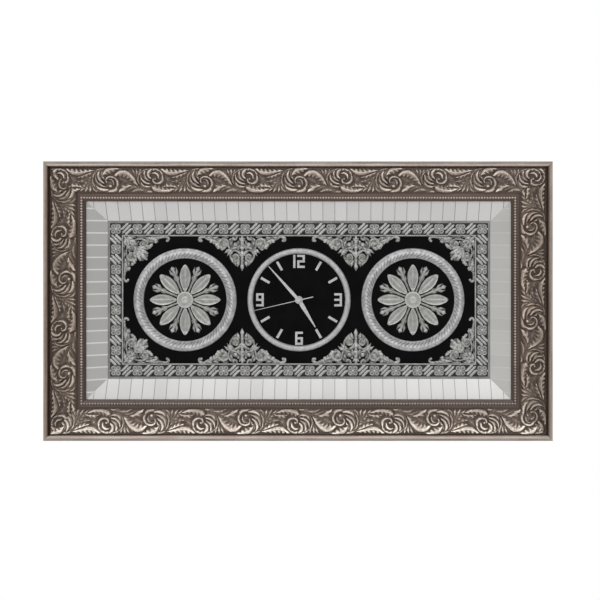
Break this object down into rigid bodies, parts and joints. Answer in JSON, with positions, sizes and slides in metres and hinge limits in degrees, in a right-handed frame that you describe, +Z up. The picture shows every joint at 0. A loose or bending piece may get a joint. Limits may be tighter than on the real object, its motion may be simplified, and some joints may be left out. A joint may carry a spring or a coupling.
{
  "type": "framed wall clock",
  "caption": "Wide carved picture-frame wall clock: tiled mirror liner, black panel, silver filigree, a dial with hands between two rope rings, quartz movement behind.",
  "frame": {"origin": "midway between the two hanger eyes, on the wall plane", "axes": "+X to the right as seen from the front, +Y from the front into the wall, +Z up"},
  "size_m": [0.78, 0.048, 0.428],
  "materials": {
    "moulding": "antiqued champagne leaf over dark brown",
    "liner": "silvered, scored into tiles",
    "panel": "gloss black",
    "slip": "satin grey",
    "border": "silver relief on black",
    "silver": "satin silver",
    "hands": "satin silver",
    "case": "moulded black",
    "wheels": "moulded white",
    "brass": "plain turned",
    "rubber": "plain",
    "iron": "plain",
    "copper": "enamelled wire",
    "circuit": "green board",
    "chips": "bright can and sealed chip",
    "cell": "plain dark sleeve, unmarked",
    "steel": "zinc plated",
    "hardboard": "brown hardboard"
  },
  "bodies": {
    "clock": {"back_board": "hardboard", "border_bottom": "border", "border_left": "border", "border_right": "border", "border_top": "border", "bottom_rail": "moulding", "bush_nut": "brass", "bush_washer": "brass", "circuit_board": "circuit", "circuit_parts": "chips", "coil_bobbin": "wheels", "coil_winding": "copper", "contact_minus": "steel", "contact_plus": "steel", "corner_ornaments": "silver", "corner_v_nails": "steel", "dial_panel": "panel", "dial_ring": "silver", "fillet_strips": "silver", "hanger_plates": "steel", "hanger_screws": "steel", "hour_bars": "silver", "left_rail": "moulding", "liner_bottom": "liner", "liner_left": "liner", "liner_right": "liner", "liner_top": "liner", "middle_ornaments": "silver", "movement_back": "case", "movement_front": "case", "movement_gasket": "rubber", "numeral_nine": "silver", "numeral_six": "silver", "numeral_three": "silver", "numeral_twelve": "silver", "retaining_points": "steel", "right_rail": "moulding", "rosette_left": "silver", "rosette_right": "silver", "roundel_rings": "silver", "slip_strips": "slip", "stator": "iron", "threaded_bush": "brass", "top_rail": "moulding", "train_plate": "wheels"},
    "hour_body": {"hour_hand": "hands", "hour_wheel": "wheels"},
    "minute_body": {"minute_hand": "hands", "cannon_pinion": "wheels"},
    "second_body": {"second_hand": "hands", "second_wheel": "wheels"},
    "motion_body": {"motion_wheel": "wheels", "set_knob": "case"},
    "drive_body": {"drive_wheel": "wheels"},
    "third_body": {"third_wheel": "wheels"},
    "intermediate_body": {"intermediate_wheel": "wheels"},
    "rotor_body": {"rotor_pinion": "wheels", "rotor_magnet": "iron"},
    "battery_body": {"battery": "cell"}
  },
  "joints": [
    {"name": "minute_turn", "type": "hinge", "parent": "clock", "child": "minute_body", "pos_m": [0, 0, -0.187], "axis": [0, 1, 0], "continuous": true},
    {"name": "hour_turn", "type": "hinge", "parent": "clock", "child": "hour_body", "pos_m": [0, 0, -0.187], "axis": [0, 1, 0], "continuous": true},
    {"name": "motion_turn", "type": "hinge", "parent": "clock", "child": "motion_body", "pos_m": [-0.00208, 0, -0.17518], "axis": [0, 1, 0], "continuous": true},
    {"name": "second_turn", "type": "hinge", "parent": "clock", "child": "second_body", "pos_m": [0, 0, -0.187], "axis": [0, 1, 0], "continuous": true},
    {"name": "drive_turn", "type": "hinge", "parent": "clock", "child": "drive_body", "pos_m": [0, 0, -0.187], "axis": [0, 1, 0], "continuous": true},
    {"name": "third_turn", "type": "hinge", "parent": "clock", "child": "third_body", "pos_m": [0.00958, 0, -0.18351], "axis": [0, 1, 0], "continuous": true},
    {"name": "intermediate_turn", "type": "hinge", "parent": "clock", "child": "intermediate_body", "pos_m": [-0.0108, 0, -0.187], "axis": [0, 1, 0], "continuous": true},
    {"name": "rotor_turn", "type": "hinge", "parent": "clock", "child": "rotor_body", "pos_m": [-0.01262, 0, -0.17666], "axis": [0, 1, 0], "continuous": true},
    {"name": "battery_lift", "type": "slide", "parent": "clock", "child": "battery_body", "axis": [0, 1, 0], "range_m": [0, 0.02]}
  ],
  "couplings": [
    {"joint": "hour_turn", "follows": "minute_turn", "ratio": 0.083333},
    {"joint": "motion_turn", "follows": "minute_turn", "ratio": -0.33333},
    {"joint": "intermediate_turn", "follows": "second_turn", "ratio": -5},
    {"joint": "rotor_turn", "follows": "second_turn", "ratio": 30},
    {"joint": "third_turn", "follows": "second_turn", "ratio": -0.13333},
    {"joint": "drive_turn", "follows": "second_turn", "ratio": 0.016667}
  ]
}
